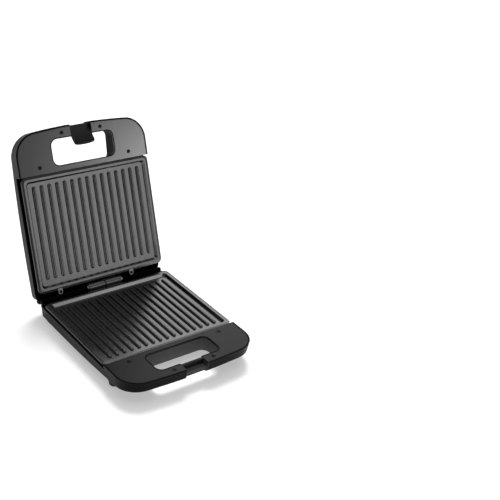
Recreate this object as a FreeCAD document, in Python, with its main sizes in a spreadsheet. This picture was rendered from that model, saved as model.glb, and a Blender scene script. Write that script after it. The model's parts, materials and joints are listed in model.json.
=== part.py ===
import FreeCAD, Part
import math
import os
import Sketcher

# A free-standing panini press: two moulded housings that carry ribbed grill plates,
# joined by a hinge at the rear and held shut by a pivoting latch in the handle.
# Design frame: X to the right, Y from the handle to the hinge, Z up. Y = 0 is the front
# of the grill bay and Z = 0 the plane where the closed housings meet.
# At the end the lid is swung open about the hinge and everything is moved so that the
# origin is the middle of the bottom of the open press.

Vector = FreeCAD.Vector
Rotation = FreeCAD.Rotation
Placement = FreeCAD.Placement

# name, value, what it is (millimetres, or degrees where it says so)
SIZES = [
    ("width", 236, "overall width of both housings"),
    ("handle_depth", 70, "front of the grill bay to the front of the handle"),
    ("bay_length", 203, "front of the grill bay to the rear wall"),
    ("front_bow", 955, "radius of the bowed front edge, in plan"),
    ("front_corner", 38, "radius of the front corners, in plan"),
    ("rear_corner", 12, "radius of the rear corners, in plan"),
    ("wall", 2.6, "wall of both housings"),
    ("seam", 0.6, "gap between the closed housings"),
    ("lid_height", 38.6, "top of the lid's crown above the seam plane"),
    ("crown_radius", 1180, "radius of the lid's crown"),
    ("crown_peak", 115, "highest point of the crown, from the front of the bay"),
    ("crease", 2.5, "rounding between the lid's top and sides"),
    ("lid_draft", 3.2, "draft of the lid's walls, degrees"),
    ("base_depth", 31, "deepest point of the base under the seam plane"),
    ("belly_radius", 1700, "radius of the base's underside, along its length"),
    ("belly_low", 140, "deepest point of the underside, from the front of the bay"),
    ("base_draft", 8, "draft of the base's walls, degrees"),
    ("belly_edge", 7.4, "rounding round the underside"),
    ("lid_recess", 14.6, "lower edge of the lid's side walls beside the plates"),
    ("base_recess", 7.4, "depth of the base's side walls' upper edge beside the plates"),
    ("recess_start", 1.1, "where the side recess begins"),
    ("bulkhead", 3, "wall between the handle and the grill bay"),
    ("cover", 2.5, "thickness of the handle's inner cover"),
    ("cover_gap", 0.2, "joint line round the handle's inner cover"),
    ("slot_half", 56, "half the width of the finger slot"),
    ("slot_rear", 8.5, "rear edge of the finger slot, in front of the bay"),
    ("slot_front", 50, "front edge of the finger slot, in front of the bay"),
    ("slot_corner", 11, "corner radius of the finger slot"),
    ("slot_flare", 9.5, "how far the slot's rear edge leans back at the lid's top"),
    ("slot_spread", 1.5, "how far the slot's other edges lean out at the lid's top"),
    ("slot_lining", 2.2, "wall round the finger slot"),
    ("notch_half", 19.1, "half the width of the latch notch"),
    ("bridge_depth", 4, "strip left between the latch notch and the slot on top"),
    ("bridge_low", 24, "underside of that strip above the seam plane"),
    ("catch_top", 7.5, "depth of the notch floor in the base"),
    ("catch_thick", 5.6, "height of the ledge that the latch hooks under"),
    ("catch_reach", 5.2, "depth of the hook's recess under the ledge"),
    ("latch_width", 36.4, "width of the latch"),
    ("latch_plate", 3.5, "thickness of the latch plate"),
    ("latch_set", 0.4, "how far the latch lies behind the handle's front"),
    ("latch_air", 0.6, "gap between the latch plate and the ledge"),
    ("latch_knuckle", 4.6, "radius of the latch's hinge knuckle"),
    ("latch_pin_up", 16.5, "latch pin above the seam plane"),
    ("latch_pin_in", 9, "latch pin behind the handle's front"),
    ("latch_pin_radius", 1.5, "radius of the latch pin"),
    ("hook_reach", 4.2, "how far the hook reaches under the ledge"),
    ("hook_thick", 3, "height of the hook"),
    ("hook_air", 0.4, "gap between the hook and the ledge"),
    ("tab_drop", 4, "how far the thumb tab hangs below the hook"),
    ("tab_kick", 3.4, "how far the thumb tab kicks out"),
    ("tab_corner", 9, "rounding of the thumb tab's corners"),
    ("latch_inward", 56, "turn of the latch from latched to its inner stop, degrees"),
    ("plate_half", 115.9, "half the width of a grill plate"),
    ("plate_front", 1.8, "front edge of a grill plate"),
    ("plate_rear", 187.7, "rear edge of a grill plate"),
    ("plate_corner", 8, "corner radius of a grill plate"),
    ("plate_lip", 0.6, "rim of a grill plate, away from the seam plane"),
    ("rim_thick", 3.2, "thickness of the plate's rim"),
    ("flange_width", 3.6, "flange outside the crest of the plate's rim"),
    ("flange_drop", 0.6, "how far that flange slopes away to its edge"),
    ("rim_width", 3.6, "flat crest of the plate's rim"),
    ("dish", 4.6, "depth of the cooking surface under the rim"),
    ("dish_slope", 3, "width of the sloping wall inside the rim"),
    ("floor_thick", 3.2, "thickness of the plate's floor"),
    ("skirt_step", 2.1, "step in from the rim to the plate's skirt"),
    ("skirt_band", 4.6, "height of the skirt's first band"),
    ("skirt_depth", 16.4, "lower end of the skirt, from the seam plane"),
    ("skirt_wall", 2.4, "wall of the skirt"),
    ("upper_ribs", 15, "ribs on the upper plate"),
    ("lower_ribs", 16, "ribs on the lower plate"),
    ("rib_span", 190.4, "outermost ribs of a plate from each other"),
    ("rib_radius", 3.1, "radius of a rib"),
    ("rib_start", 17.5, "front end of the ribs"),
    ("rib_end", 168.5, "rear end of the ribs"),
    ("ear_right", 54, "screw ear right of the middle, seen on the upper plate"),
    ("ear_left", 79, "screw ear left of the middle, seen on the upper plate"),
    ("ear_reach", 3.6, "centre of a screw ear behind the plate"),
    ("ear_radius", 4, "radius of a screw ear"),
    ("ear_thick", 3, "thickness of a screw ear"),
    ("ear_down", 9, "top of the lower plate's screw ears under the seam plane"),
    ("ear_hole", 1.7, "radius of the hole in a screw ear"),
    ("ear_boss", 3.4, "radius of the post under a screw ear"),
    ("tongue_x", 60, "front tongues of a plate from the middle"),
    ("tongue_half", 8, "half the width of a front tongue"),
    ("tongue_thick", 2, "thickness of a front tongue"),
    ("tongue_down", 12.6, "front tongues from the seam plane"),
    ("tongue_reach", 1.6, "how far a tongue enters the wall in front of it"),
    ("tongue_fit", 0.2, "clearance round a front tongue"),
    ("heater_radius", 3.3, "radius of the tubular heater"),
    ("heater_half", 58, "half the width of the heater's loop"),
    ("heater_front", 32, "front of the heater's loop"),
    ("heater_rear", 160, "rear ends of the heater"),
    ("heater_bend", 22, "bend radius of the heater"),
    ("tray_half", 104, "half the width of the heat shield"),
    ("tray_front", 12, "front of the heat shield"),
    ("tray_rear", 180, "rear of the heat shield"),
    ("tray_height", 9, "height of the heat shield"),
    ("tray_wall", 0.8, "sheet of the heat shield"),
    ("hinge_y", 197, "hinge axis behind the front of the bay"),
    ("hinge_half", 27, "half the length of the two hinge knuckles"),
    ("hinge_radius", 5.6, "radius of the hinge knuckles"),
    ("hinge_air", 0.4, "gap between a hinge knuckle and the ear beside it"),
    ("hinge_middle", 2, "gap between the two hinge knuckles"),
    ("hinge_ear", 3.6, "length of the outer hinge ears"),
    ("hinge_leaf", 3.7, "thickness of the hinge leaves"),
    ("hinge_leaf_start", 6, "hinge axis to the joined part of a leaf"),
    ("hinge_leaf_reach", 22, "length of the hinge leaves from the axis"),
    ("hinge_pin", 2.05, "radius of the hinge pin"),
    ("pin_fit", 0.05, "radial clearance of a pin in its bore"),
    ("pin_head", 3.3, "radius of the hinge pin's heads"),
    ("open_angle", 111, "travel of the lid from closed to its stop, degrees"),
    ("lid_rail", 5.5, "radius of the stop rail at the lid's rear"),
    ("lid_rail_up", 16, "centre of that rail above the seam plane"),
    ("base_rail", 4.2, "radius of the stop rail at the base's rear"),
    ("base_rail_down", 5.2, "centre of that rail under the seam plane"),
    ("rail_out", 3.9, "centres of both rails behind the hinge axis"),
    ("rail_half", 110, "half the length of the rails' straight part"),
    ("strip_half", 21.7, "half the width of the trim strip"),
    ("strip_front", 1.8, "front end of the trim strip, behind the front of the bay"),
    ("strip_rear", 198, "rear end of the trim strip"),
    ("strip_corner", 3, "corner radius of the trim strip"),
    ("strip_sunk", 1.5, "top of the strip under the lid's crown"),
    ("strip_thick", 1.4, "thickness of the trim strip"),
    ("strip_air", 0.9, "gap between the strip and its channel's walls"),
    ("channel_floor", 2.6, "thickness of the channel's floor"),
    ("lamp_y", 46.3, "middle of the lamp window"),
    ("lamp_half", 34.5, "half the length of the lamp window"),
    ("lamp_radius", 6.6, "radius of the lamp window's ends"),
    ("bezel_wall", 1.1, "wall of the lamp bezel"),
    ("bezel_flange", 1.8, "reach of the bezel's flange under the channel's floor"),
    ("bezel_proud", 0.3, "bezel above the strip"),
    ("lens_air", 0.1, "gap between lens and bezel"),
    ("divider", 1.3, "bar between the two lenses"),
    ("lamp_seat", 27, "top of the lamp holder above the seam plane"),
    ("holder_height", 5, "height of the lamp holder"),
    ("screw_rear_x", 81.3, "rear cover screws from the middle"),
    ("screw_rear_y", 9.8, "rear cover screws in front of the bay"),
    ("screw_front_x", 35, "front cover screws from the middle"),
    ("screw_front_y", 58.6, "front cover screws in front of the bay"),
    ("screw_boss", 4, "radius of a screw boss"),
    ("screw_recess", 3.1, "radius of a screw's recess"),
    ("screw_sunk", 1.3, "depth of a screw's recess"),
    ("screw_bore", 1.6, "radius of a screw hole"),
    ("stand", 36, "seam plane above the surface that the press stands on"),
    ("foot_inset", 17, "feet in from the sides"),
    ("foot_front_y", -4, "front feet"),
    ("foot_rear_y", 182, "rear feet"),
    ("foot_top", 9.2, "radius of a foot where it meets the base"),
    ("foot_bottom", 7.6, "radius of a foot's sole"),
    ("foot_edge", 1, "rounding of a foot's sole"),
    ("foot_seat_front", 27, "seat of the front feet under the seam plane"),
    ("foot_seat_rear", 31.4, "seat of the rear feet under the seam plane"),
    ("foot_boss", 10, "radius of the boss over a foot"),
    ("bushing_x", 70, "cord bushing right of the middle"),
    ("bushing_down", 17.5, "cord bushing under the seam plane"),
    ("bushing_radius", 3.8, "radius of the cord bushing's neck"),
    ("bushing_flange", 5.4, "radius of the cord bushing's flange"),
    ("bushing_bore", 2.2, "radius of the cord bushing's hole"),
    ("terminal_half", 16, "half the width of the terminal block"),
    ("terminal_front", 150, "front of the terminal block"),
    ("terminal_length", 16, "length of the terminal block"),
    ("terminal_height", 7, "height of the terminal block"),
    ("floor_seat", 27, "top of the pad under the terminal block, under the seam plane"),
    ("thermostat_radius", 8, "radius of the thermostat"),
    ("thermostat_height", 6, "height of the thermostat"),
    ("thermostat_x", 60, "thermostat from the middle"),
    ("thermostat_y", 96, "thermostat behind the front of the bay"),
]

FAR = 400  # longer than anything that is cut
AXIS_X = Rotation(Vector(0, 1, 0), 90)
SEAM_UP = Rotation(Vector(0, 1, 0), 90) * Rotation(Vector(0, 0, 1), 180)
AXIS_Y = Rotation(Vector(1, 0, 0), -90)


class Dim:
    """A size that carries its number and the sheet expression behind it."""

    def __init__(self, value, text):
        self.value = value
        self.text = text

    @staticmethod
    def of(other):
        return other if isinstance(other, Dim) else Dim(other, str(other))

    def __add__(self, other):
        other = Dim.of(other)
        return Dim(self.value + other.value, f"({self.text} + {other.text})")

    def __sub__(self, other):
        other = Dim.of(other)
        return Dim(self.value - other.value, f"({self.text} - {other.text})")

    def __mul__(self, other):
        other = Dim.of(other)
        return Dim(self.value * other.value, f"({self.text} * {other.text})")

    def __truediv__(self, other):
        other = Dim.of(other)
        return Dim(self.value / other.value, f"({self.text} / {other.text})")

    def __neg__(self):
        return Dim(-self.value, f"(0 - {self.text})")

    def __radd__(self, other):
        return Dim.of(other) + self

    def __rsub__(self, other):
        return Dim.of(other) - self

    def __rmul__(self, other):
        return Dim.of(other) * self


class Sizes:
    """The sheet's sizes as attributes."""

    def __init__(self, document):
        sheet = document.addObject("Spreadsheet::Sheet", "Sizes")
        for row, (name, value, note) in enumerate(SIZES, start=1):
            sheet.set(f"A{row}", note)
            sheet.set(f"B{row}", str(value))
            sheet.setAlias(f"B{row}", name)
            setattr(self, name, Dim(value, f"Sizes.{name}"))
        document.recompute()


doc = FreeCAD.newDocument("PaniniPress")
size = Sizes(doc)


# ---------------------------------------------------------------- small helpers

def bind(thing, **properties):
    """Tie properties to sheet expressions, with __ for a dot in the property's path."""
    for path, dim in properties.items():
        thing.setExpression(path.replace("__", "."), Dim.of(dim).text)
    return thing


def place(thing, x=0, y=0, z=0, turn=None):
    thing.Placement = Placement(Vector(0, 0, 0), turn or Rotation())
    bind(thing, Placement__Base__x=x, Placement__Base__y=y, Placement__Base__z=z)
    return thing


def block(name, x0, x1, y0, y1, z0, z1):
    box = doc.addObject("Part::Box", name)
    bind(box, Length=Dim.of(x1) - x0, Width=Dim.of(y1) - y0, Height=Dim.of(z1) - z0)
    return place(box, x0, y0, z0)


def rod(name, x, y, z, radius, length, turn=None):
    """A cylinder whose first end is at x, y, z; it runs up, or along the turned axis."""
    cylinder = doc.addObject("Part::Cylinder", name)
    bind(cylinder, Radius=radius, Height=length)
    return place(cylinder, x, y, z, turn)


def ball(name, x, y, z, radius, turn=None):
    sphere = doc.addObject("Part::Sphere", name)
    bind(sphere, Radius=radius)
    return place(sphere, x, y, z, turn)


def cut(name, base, tool):
    result = doc.addObject("Part::Cut", name)
    result.Base = base
    result.Tool = tool
    return result


def common(name, first, second):
    result = doc.addObject("Part::Common", name)
    result.Base = first
    result.Tool = second
    return result


def fuse(name, *shapes):
    result = doc.addObject("Part::MultiFuse", name)
    result.Shapes = list(shapes)
    return result


def round_edges(name, base, radius, wanted):
    """Fillet the edges of base for which wanted(edge) is true."""
    doc.recompute()
    result = doc.addObject("Part::Fillet", name)
    result.Base = base
    result.Edges = [
        (number, radius.value, radius.value)
        for number, edge in enumerate(base.Shape.Edges, start=1)
        if wanted(edge)
    ]
    return result


class Profile:
    """A sketch whose corners and radii are all driven by the sheet."""

    def __init__(self, name, body=None, plane="XY", offset=0):
        if body:
            self.sketch = body.newObject("Sketcher::SketchObject", name)
            role = f"{plane}_Plane"
            support = [f for f in body.Origin.OriginFeatures if f.Role == role][0]
            self.sketch.AttachmentSupport = [(support, "")]
            self.sketch.MapMode = "FlatFace"
            bind(self.sketch, AttachmentOffset__Base__z=offset)
        else:
            self.sketch = doc.addObject("Sketcher::SketchObject", name)
            place(self.sketch, z=offset)

    def limit(self, kind, *where):
        """Add a constraint; a last argument that is a Dim also drives it."""
        dim = where[-1] if isinstance(where[-1], Dim) else None
        numbers = where[:-1] + (dim.value,) if dim else where
        index = self.sketch.addConstraint(Sketcher.Constraint(kind, *numbers))
        if dim:
            self.sketch.setExpression(f"Constraints[{index}]", dim.text)

    def line(self, start, end):
        return self.sketch.addGeometry(Part.LineSegment(Vector(*start, 0), Vector(*end, 0)), False)

    def arc(self, centre, radius, first, last):
        """A circular arc, counter-clockwise between two angles in degrees."""
        circle = Part.Circle(Vector(*centre, 0), Vector(0, 0, 1), radius)
        arc = Part.ArcOfCircle(circle, math.radians(first), math.radians(last))
        return self.sketch.addGeometry(arc, False)

    def polygon(self, *corners):
        """A closed outline through corners given as pairs of sizes."""
        points = [(Dim.of(a), Dim.of(b)) for a, b in corners]
        count = len(points)
        first = None
        for here, there in zip(points, points[1:] + points[:1]):
            number = self.line([c.value for c in here], [c.value for c in there])
            first = number if first is None else first
        for step, (across, up) in enumerate(points):
            self.limit("Coincident", first + step, 2, first + (step + 1) % count, 1)
            self.limit("DistanceX", -1, 1, first + step, 1, across)
            self.limit("DistanceY", -1, 1, first + step, 1, up)
        return self.sketch

    def circle(self, across, up, radius):
        across, up, radius = Dim.of(across), Dim.of(up), Dim.of(radius)
        centre = Vector(across.value, up.value, 0)
        number = self.sketch.addGeometry(Part.Circle(centre, Vector(0, 0, 1), radius.value), False)
        self.limit("Radius", number, radius)
        self.limit("DistanceX", -1, 1, number, 3, across)
        self.limit("DistanceY", -1, 1, number, 3, up)
        return self.sketch

    def rounded(self, x0, x1, y0, y1, radius):
        """A rectangle with rounded corners."""
        x0, x1, y0, y1, radius = [Dim.of(d) for d in (x0, x1, y0, y1, radius)]
        a, b, c, d, r = [v.value for v in (x0, x1, y0, y1, radius)]
        bottom = self.line((a + r, c), (b - r, c))
        corner_br = self.arc((b - r, c + r), r, 270, 360)
        right = self.line((b, c + r), (b, d - r))
        corner_tr = self.arc((b - r, d - r), r, 0, 90)
        top = self.line((b - r, d), (a + r, d))
        corner_tl = self.arc((a + r, d - r), r, 90, 180)
        left = self.line((a, d - r), (a, c + r))
        corner_bl = self.arc((a + r, c + r), r, 180, 270)
        ring = [bottom, corner_br, right, corner_tr, top, corner_tl, left, corner_bl]
        for here, there in zip(ring, ring[1:] + ring[:1]):
            self.limit("Tangent", here, 2, there, 1)
        for number in (bottom, top):
            self.limit("Horizontal", number)
        for number in (left, right):
            self.limit("Vertical", number)
        for number in (corner_br, corner_tr, corner_tl, corner_bl):
            self.limit("Radius", number, radius)
        self.limit("DistanceX", -1, 1, left, 1, x0)
        self.limit("DistanceX", -1, 1, right, 1, x1)
        self.limit("DistanceY", -1, 1, bottom, 1, y0)
        self.limit("DistanceY", -1, 1, top, 1, y1)
        return self.sketch

    def housing(self, inset):
        """The housings' outline in plan, with its bowed front, drawn in by inset."""
        half = size.width / 2 - inset
        front = -size.handle_depth + inset
        rear = size.bay_length - inset
        bow = size.front_bow - inset
        round_front = size.front_corner - inset
        round_rear = size.rear_corner - inset
        a, f, e, b = half.value, front.value, rear.value, bow.value
        rf, rr = round_front.value, round_rear.value
        centre_y = f + b - math.sqrt((b - rf) ** 2 - (a - rf) ** 2)
        lean = math.degrees(math.atan2(a - rf, f + b - centre_y))
        reach = (b * math.sin(math.radians(lean)), f + b - b * math.cos(math.radians(lean)))
        bowed = self.arc((0, f + b), b, 270 - lean, 270 + lean)
        corner_fr = self.arc((a - rf, centre_y), rf, 270 + lean, 360)
        right = self.line((a, centre_y), (a, e - rr))
        corner_rr = self.arc((a - rr, e - rr), rr, 0, 90)
        back = self.line((a - rr, e), (rr - a, e))
        corner_rl = self.arc((rr - a, e - rr), rr, 90, 180)
        left = self.line((-a, e - rr), (-a, centre_y))
        corner_fl = self.arc((rf - a, centre_y), rf, 180, 270 - lean)
        ring = [bowed, corner_fr, right, corner_rr, back, corner_rl, left, corner_fl]
        for here, there in zip(ring, ring[1:] + ring[:1]):
            self.limit("Tangent", here, 2, there, 1)
        for number in (left, right):
            self.limit("Vertical", number)
        self.limit("Horizontal", back)
        for number in (corner_fr, corner_fl):
            self.limit("Radius", number, round_front)
        for number in (corner_rr, corner_rl):
            self.limit("Radius", number, round_rear)
        self.limit("Radius", bowed, bow)
        self.limit("PointOnObject", bowed, 3, -2)
        self.limit("DistanceY", -1, 1, bowed, 3, front + bow)
        self.limit("DistanceX", -1, 1, left, 1, -half)
        self.limit("DistanceX", -1, 1, right, 1, half)
        self.limit("DistanceY", -1, 1, back, 1, rear)
        return self.sketch


def extrude(name, sketch, height, down=False, draft=None):
    """Raise a loose sketch along Z; draft draws the far end in, in degrees."""
    solid = doc.addObject("Part::Extrusion", name)
    solid.Base = sketch
    solid.DirMode = "Custom"
    solid.Dir = Vector(0, 0, -1 if down else 1)
    solid.Solid = True
    bind(solid, LengthFwd=height)
    if draft is not None:
        bind(solid, TaperAngle=-Dim.of(draft))
    return solid


def new_body(name):
    return doc.addObject("PartDesign::Body", name)


def pad(body, sketch, length, reverse=False, middle=False, taper=None):
    feature = body.newObject("PartDesign::Pad", f"{sketch.Name}_pad")
    feature.Profile = sketch
    feature.Reversed = reverse
    feature.Midplane = middle
    bind(feature, Length=length)
    if taper is not None:
        bind(feature, TaperAngle=taper)
    doc.recompute()
    return feature


def pocket(body, sketch, depth, reverse=False, middle=False):
    before = body.Tip.Shape.Volume
    feature = body.newObject("PartDesign::Pocket", f"{sketch.Name}_pocket")
    feature.Profile = sketch
    feature.Reversed = reverse
    feature.Midplane = middle
    bind(feature, Length=depth)
    doc.recompute()
    if not feature.Shape.Volume < before:
        raise RuntimeError(f"{feature.Name} removes nothing")
    return feature


def body_fillet(body, radius, wanted):
    """Round the edges of the body's last feature for which wanted(edge) is true."""
    base = body.Tip
    names = [f"Edge{n}" for n, e in enumerate(base.Shape.Edges, start=1) if wanted(e)]
    feature = body.newObject("PartDesign::Fillet", f"{body.Name}_fillet")
    feature.Base = (base, names)
    bind(feature, Radius=radius)
    doc.recompute()
    return feature


def middle_of(edge):
    return edge.valueAt((edge.FirstParameter + edge.LastParameter) / 2)


def near(value, dim, tolerance=0.02):
    return abs(value - Dim.of(dim).value) < tolerance


# ---------------------------------------------------------------- shared places

parting = size.seam / 2
front = -size.handle_depth
half = size.width / 2
cover_back = parting + size.cover
bay_front = size.recess_start
ledge_front = front + size.latch_set + size.latch_plate + size.latch_air
ledge_low = size.catch_top + size.catch_thick
pin_y = front + size.latch_pin_in
rim_back = size.plate_lip + size.rim_thick
dish_floor = size.plate_lip + size.dish
plate_back = dish_floor + size.floor_thick
ear_y = size.plate_rear + size.ear_reach
rail_y = size.hinge_y + size.rail_out
leaf_back = size.hinge_y - size.hinge_radius + size.hinge_leaf
band_back = rim_back + size.skirt_band
low_ear_back = size.ear_down + size.ear_thick
foot_x = half - size.foot_inset
screws = [
    (-size.screw_rear_x, -size.screw_rear_y),
    (size.screw_rear_x, -size.screw_rear_y),
    (-size.screw_front_x, -size.screw_front_y),
    (size.screw_front_x, -size.screw_front_y),
]
feet = {
    "foot_front_left": (-foot_x, size.foot_front_y, size.foot_seat_front),
    "foot_front_right": (foot_x, size.foot_front_y, size.foot_seat_front),
    "foot_rear_left": (-foot_x, size.foot_rear_y, size.foot_seat_rear),
    "foot_rear_right": (foot_x, size.foot_rear_y, size.foot_seat_rear),
}


def crown(name, sunk=0):
    """The ball whose top is the lid's crown, or lies under it."""
    lift = size.lid_height - size.crown_radius
    return ball(name, 0, size.crown_peak, lift, size.crown_radius - sunk, AXIS_X)


def belly(name, raised=0):
    """The long cylinder whose underside is the base's underside, or lies over it."""
    lift = size.belly_radius - size.base_depth
    return rod(name, -FAR, size.belly_low, lift, size.belly_radius - raised, 2 * FAR, SEAM_UP)


def crown_layer(name, sunk, deeper):
    return cut(name, crown(f"{name}_top", sunk), crown(f"{name}_under", deeper))


def slot_sketch(name, lean, spread, grown, offset):
    across = size.slot_half + spread + grown
    return Profile(name, offset=offset).rounded(
        -across, across,
        -size.slot_front - spread - grown, -size.slot_rear + lean + grown,
        size.slot_corner + grown,
    )


def flared_slot(name, grown):
    """The lid's finger slot, whose rear wall leans back towards the top."""
    loft = doc.addObject("Part::Loft", name)
    loft.Sections = [
        slot_sketch(f"{name}_low", Dim.of(0), Dim.of(0), grown, Dim.of(0)),
        slot_sketch(f"{name}_high", size.slot_flare, size.slot_spread, grown, size.lid_height),
    ]
    loft.Solid = True
    return loft


def straight_slot(name, grown, low, high):
    sketch = slot_sketch(f"{name}_outline", Dim.of(0), Dim.of(0), grown, low)
    return extrude(name, sketch, Dim.of(high) - low)


def rail(name, radius, height):
    """A round rail along X with ball ends."""
    middle = rod(f"{name}_rod", -size.rail_half, rail_y, height, radius, 2 * size.rail_half, AXIS_X)
    left = ball(f"{name}_left", -size.rail_half, rail_y, height, radius, AXIS_X)
    right = ball(f"{name}_right", size.rail_half, rail_y, height, radius, AXIS_X)
    return fuse(name, middle, left, right)


def tongue_slots(name, low, high):
    """The two slots in a bulkhead that hold a plate's front tongues."""
    reach = size.tongue_half + size.tongue_fit
    back, ahead = bay_front - size.bulkhead - 1, bay_front + 1
    return [
        block(f"{name}_{side}", x - reach, x + reach, back, ahead, low, high)
        for side, x in (("left", -size.tongue_x), ("right", size.tongue_x))
    ]


# ---------------------------------------------------------------- the lid's housing

def bushing_rod(name, radius, start, end):
    """A cylinder square to the sloping rear wall, from start to end beyond its outer face."""
    slope = math.radians(size.base_draft.value)
    face = size.bay_length - (size.bushing_down - parting) * math.tan(slope)
    return rod(name, size.bushing_x, face + start * math.cos(slope),
               -size.bushing_down - start * math.sin(slope), radius, end - start,
               Rotation(Vector(1, 0, 0), -90 - size.base_draft.value))


def make_lid_shell():
    height = size.lid_height
    prism = extrude(
        "lid_prism", Profile("lid_outline", offset=parting).housing(Dim.of(0)), height,
        draft=size.lid_draft,
    )
    solid = common("lid_solid", prism, crown("lid_crown"))
    above = size.lid_recess.value
    outer = round_edges(
        "lid_rounded", solid, size.crease,
        lambda edge: edge.BoundBox.ZMin > above,
    )
    hollow = extrude(
        "lid_hollow", Profile("lid_hollow_outline", offset=0).housing(size.wall), height,
        draft=size.lid_draft,
    )
    room = common("lid_room", hollow, crown("lid_ceiling", size.wall))
    channel_half = size.strip_half + size.strip_air
    channel_low = size.strip_sunk + size.strip_thick
    pan = common(
        "channel_pan",
        block("channel_block", -channel_half - size.wall, channel_half + size.wall,
              bay_front - size.bulkhead, size.bay_length, size.lid_recess, height),
        crown_layer("channel_layer", size.wall / 2, channel_low + size.channel_floor),
    )
    notch = size.notch_half + size.wall
    inside = [
        block("lid_bulkhead", -half, half, bay_front - size.bulkhead, bay_front,
              cover_back, height),
        common("lid_lining", flared_slot("lid_lining_loft", size.slot_lining),
               block("lid_lining_block", -half, half, front, half, cover_back, height)),
        block("lid_notch_block", -notch, notch, front, -size.slot_front, cover_back, height),
        block("lid_hinge_seat", -size.hinge_half - 2, size.hinge_half + size.hinge_ear + 2,
              leaf_back, size.bay_length, size.lid_recess, height),
        pan,
    ]
    inside += [
        rod(f"lid_boss_{n}", x, y, cover_back, size.screw_boss, height)
        for n, (x, y) in enumerate(screws)
    ]
    inside += [
        rod(f"lid_post_{n}", x, ear_y, rim_back, size.ear_boss, height)
        for n, x in enumerate((size.ear_right, -size.ear_left))
    ]
    shell = fuse(
        "lid_walls", cut("lid_skin", outer, room),
        common("lid_inside", fuse("lid_ribs", *inside), outer),
    )
    lamp = size.lamp_half + 0.3
    lamp_side = size.lamp_radius + 0.3
    channel = common(
        "channel",
        extrude("channel_prism", Profile("channel_outline", offset=size.lid_recess).rounded(
            -channel_half, channel_half, size.strip_front - size.strip_air,
            size.bay_length + size.wall, size.strip_corner), height),
        crown_layer("channel_depth", -size.wall, channel_low),
    )
    tools = [
        flared_slot("lid_slot", Dim.of(0)),
        block("lid_notch", -size.notch_half, size.notch_half, front - 5,
              -size.slot_front - size.bridge_depth, 0, 2 * height),
        block("lid_under_bridge", -size.notch_half, size.notch_half, front - 5,
              1 - size.slot_front, 0, size.bridge_low),
        channel,
        extrude("lamp_window", Profile("lamp_window_outline", offset=size.lamp_seat).rounded(
            -lamp_side, lamp_side, size.lamp_y - lamp, size.lamp_y + lamp,
            lamp_side - 0.01), height),
        rod("lid_pin_bore", -size.notch_half - size.wall - 1, pin_y, size.latch_pin_up,
            size.latch_pin_radius, 2 * (size.notch_half + size.wall + 1), AXIS_X),
    ]
    tools += tongue_slots(
        "lid_tongue", size.tongue_down - size.tongue_fit,
        size.tongue_down + size.tongue_thick + size.tongue_fit,
    )
    bare = cut("lid_bare", shell, fuse("lid_tools", *tools))
    bay = cut(
        "lid_bay",
        block("lid_bay_block", -half - 10, half + 10, bay_front, size.bay_length + 10,
              -1, size.lid_recess),
        fuse("lid_posts_kept", *[
            rod(f"lid_post_kept_{n}", x, ear_y, rim_back, size.ear_boss, height)
            for n, x in enumerate((size.ear_right, -size.ear_left))
        ]),
    )
    open_shell = cut("lid_open", bare, bay)
    stop = cut("lid_rail", rail("lid_rail_round", size.lid_rail, size.lid_rail_up), room)
    return fuse("lid_shell", open_shell, stop)


def make_lid_cover():
    outline = Profile("lid_cover_outline", offset=parting).housing(size.wall + size.cover_gap)
    plate = common(
        "lid_cover_plate", extrude("lid_cover_prism", outline, size.cover, draft=size.lid_draft),
        block("lid_cover_block", -half, half, front, bay_front, 0, half),
    )
    tools = [
        flared_slot("lid_cover_slot", Dim.of(0)),
        block("lid_cover_notch", -size.notch_half, size.notch_half, front - 5,
              1 - size.slot_front, -5, half),
    ]
    for n, (x, y) in enumerate(screws):
        tools.append(rod(f"lid_recess_{n}", x, y, 0, size.screw_recess, parting + size.screw_sunk))
        tools.append(rod(f"lid_hole_{n}", x, y, 0, size.screw_bore, size.lid_height))
    return cut("lid_handle_cover", plate, fuse("lid_cover_tools", *tools))


# ---------------------------------------------------------------- the base's housing

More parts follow.
